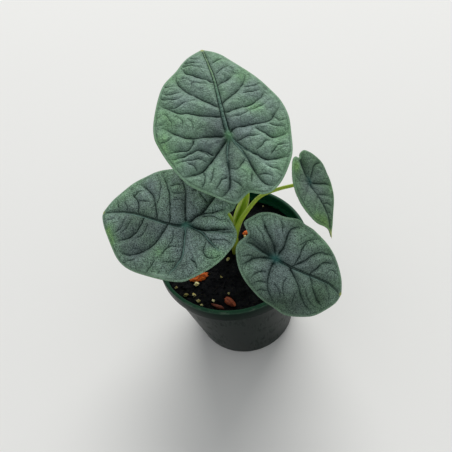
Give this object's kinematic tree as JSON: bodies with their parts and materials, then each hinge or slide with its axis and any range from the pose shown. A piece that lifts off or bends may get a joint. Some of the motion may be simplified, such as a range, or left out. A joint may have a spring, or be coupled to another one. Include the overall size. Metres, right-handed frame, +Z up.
{
  "type": "potted alocasia melo",
  "caption": "Young alocasia melo with thick, quilted, grey-green peltate leaves on slender stalks, growing in a round tapered nursery pot of dark potting mix.",
  "frame": {"origin": "centre of the flat underside of the pot, on the surface it stands on", "axes": "+Z up along the pot's axis, +X to the side that the small leaf leans out over, -Y to the low front leaf"},
  "size_m": [0.1456, 0.1557, 0.1922],
  "materials": {
    "pot_plastic": "moulded dark green plastic with a soft sheen",
    "potting_mix": "matt, nearly black, moist and crumbly",
    "bark": "matt red-brown to orange bark",
    "leaf_stalk": "fleshy yellow-green with a soft sheen",
    "leaf_blade": "thick grey-green, finely pebbled and matt"
  },
  "bodies": {
    "root": {"pot": "pot_plastic", "soil": "potting_mix", "bark_chip_orange": "bark", "bark_pebble": "bark", "bark_sliver": "bark", "bark_chip_small": "bark", "petiole_upper": "leaf_stalk", "petiole_left": "leaf_stalk", "petiole_right": "leaf_stalk", "petiole_small": "leaf_stalk", "leaf_upper": "leaf_blade", "leaf_left": "leaf_blade", "leaf_right": "leaf_blade", "leaf_small": "leaf_blade"}
  },
  "joints": []
}
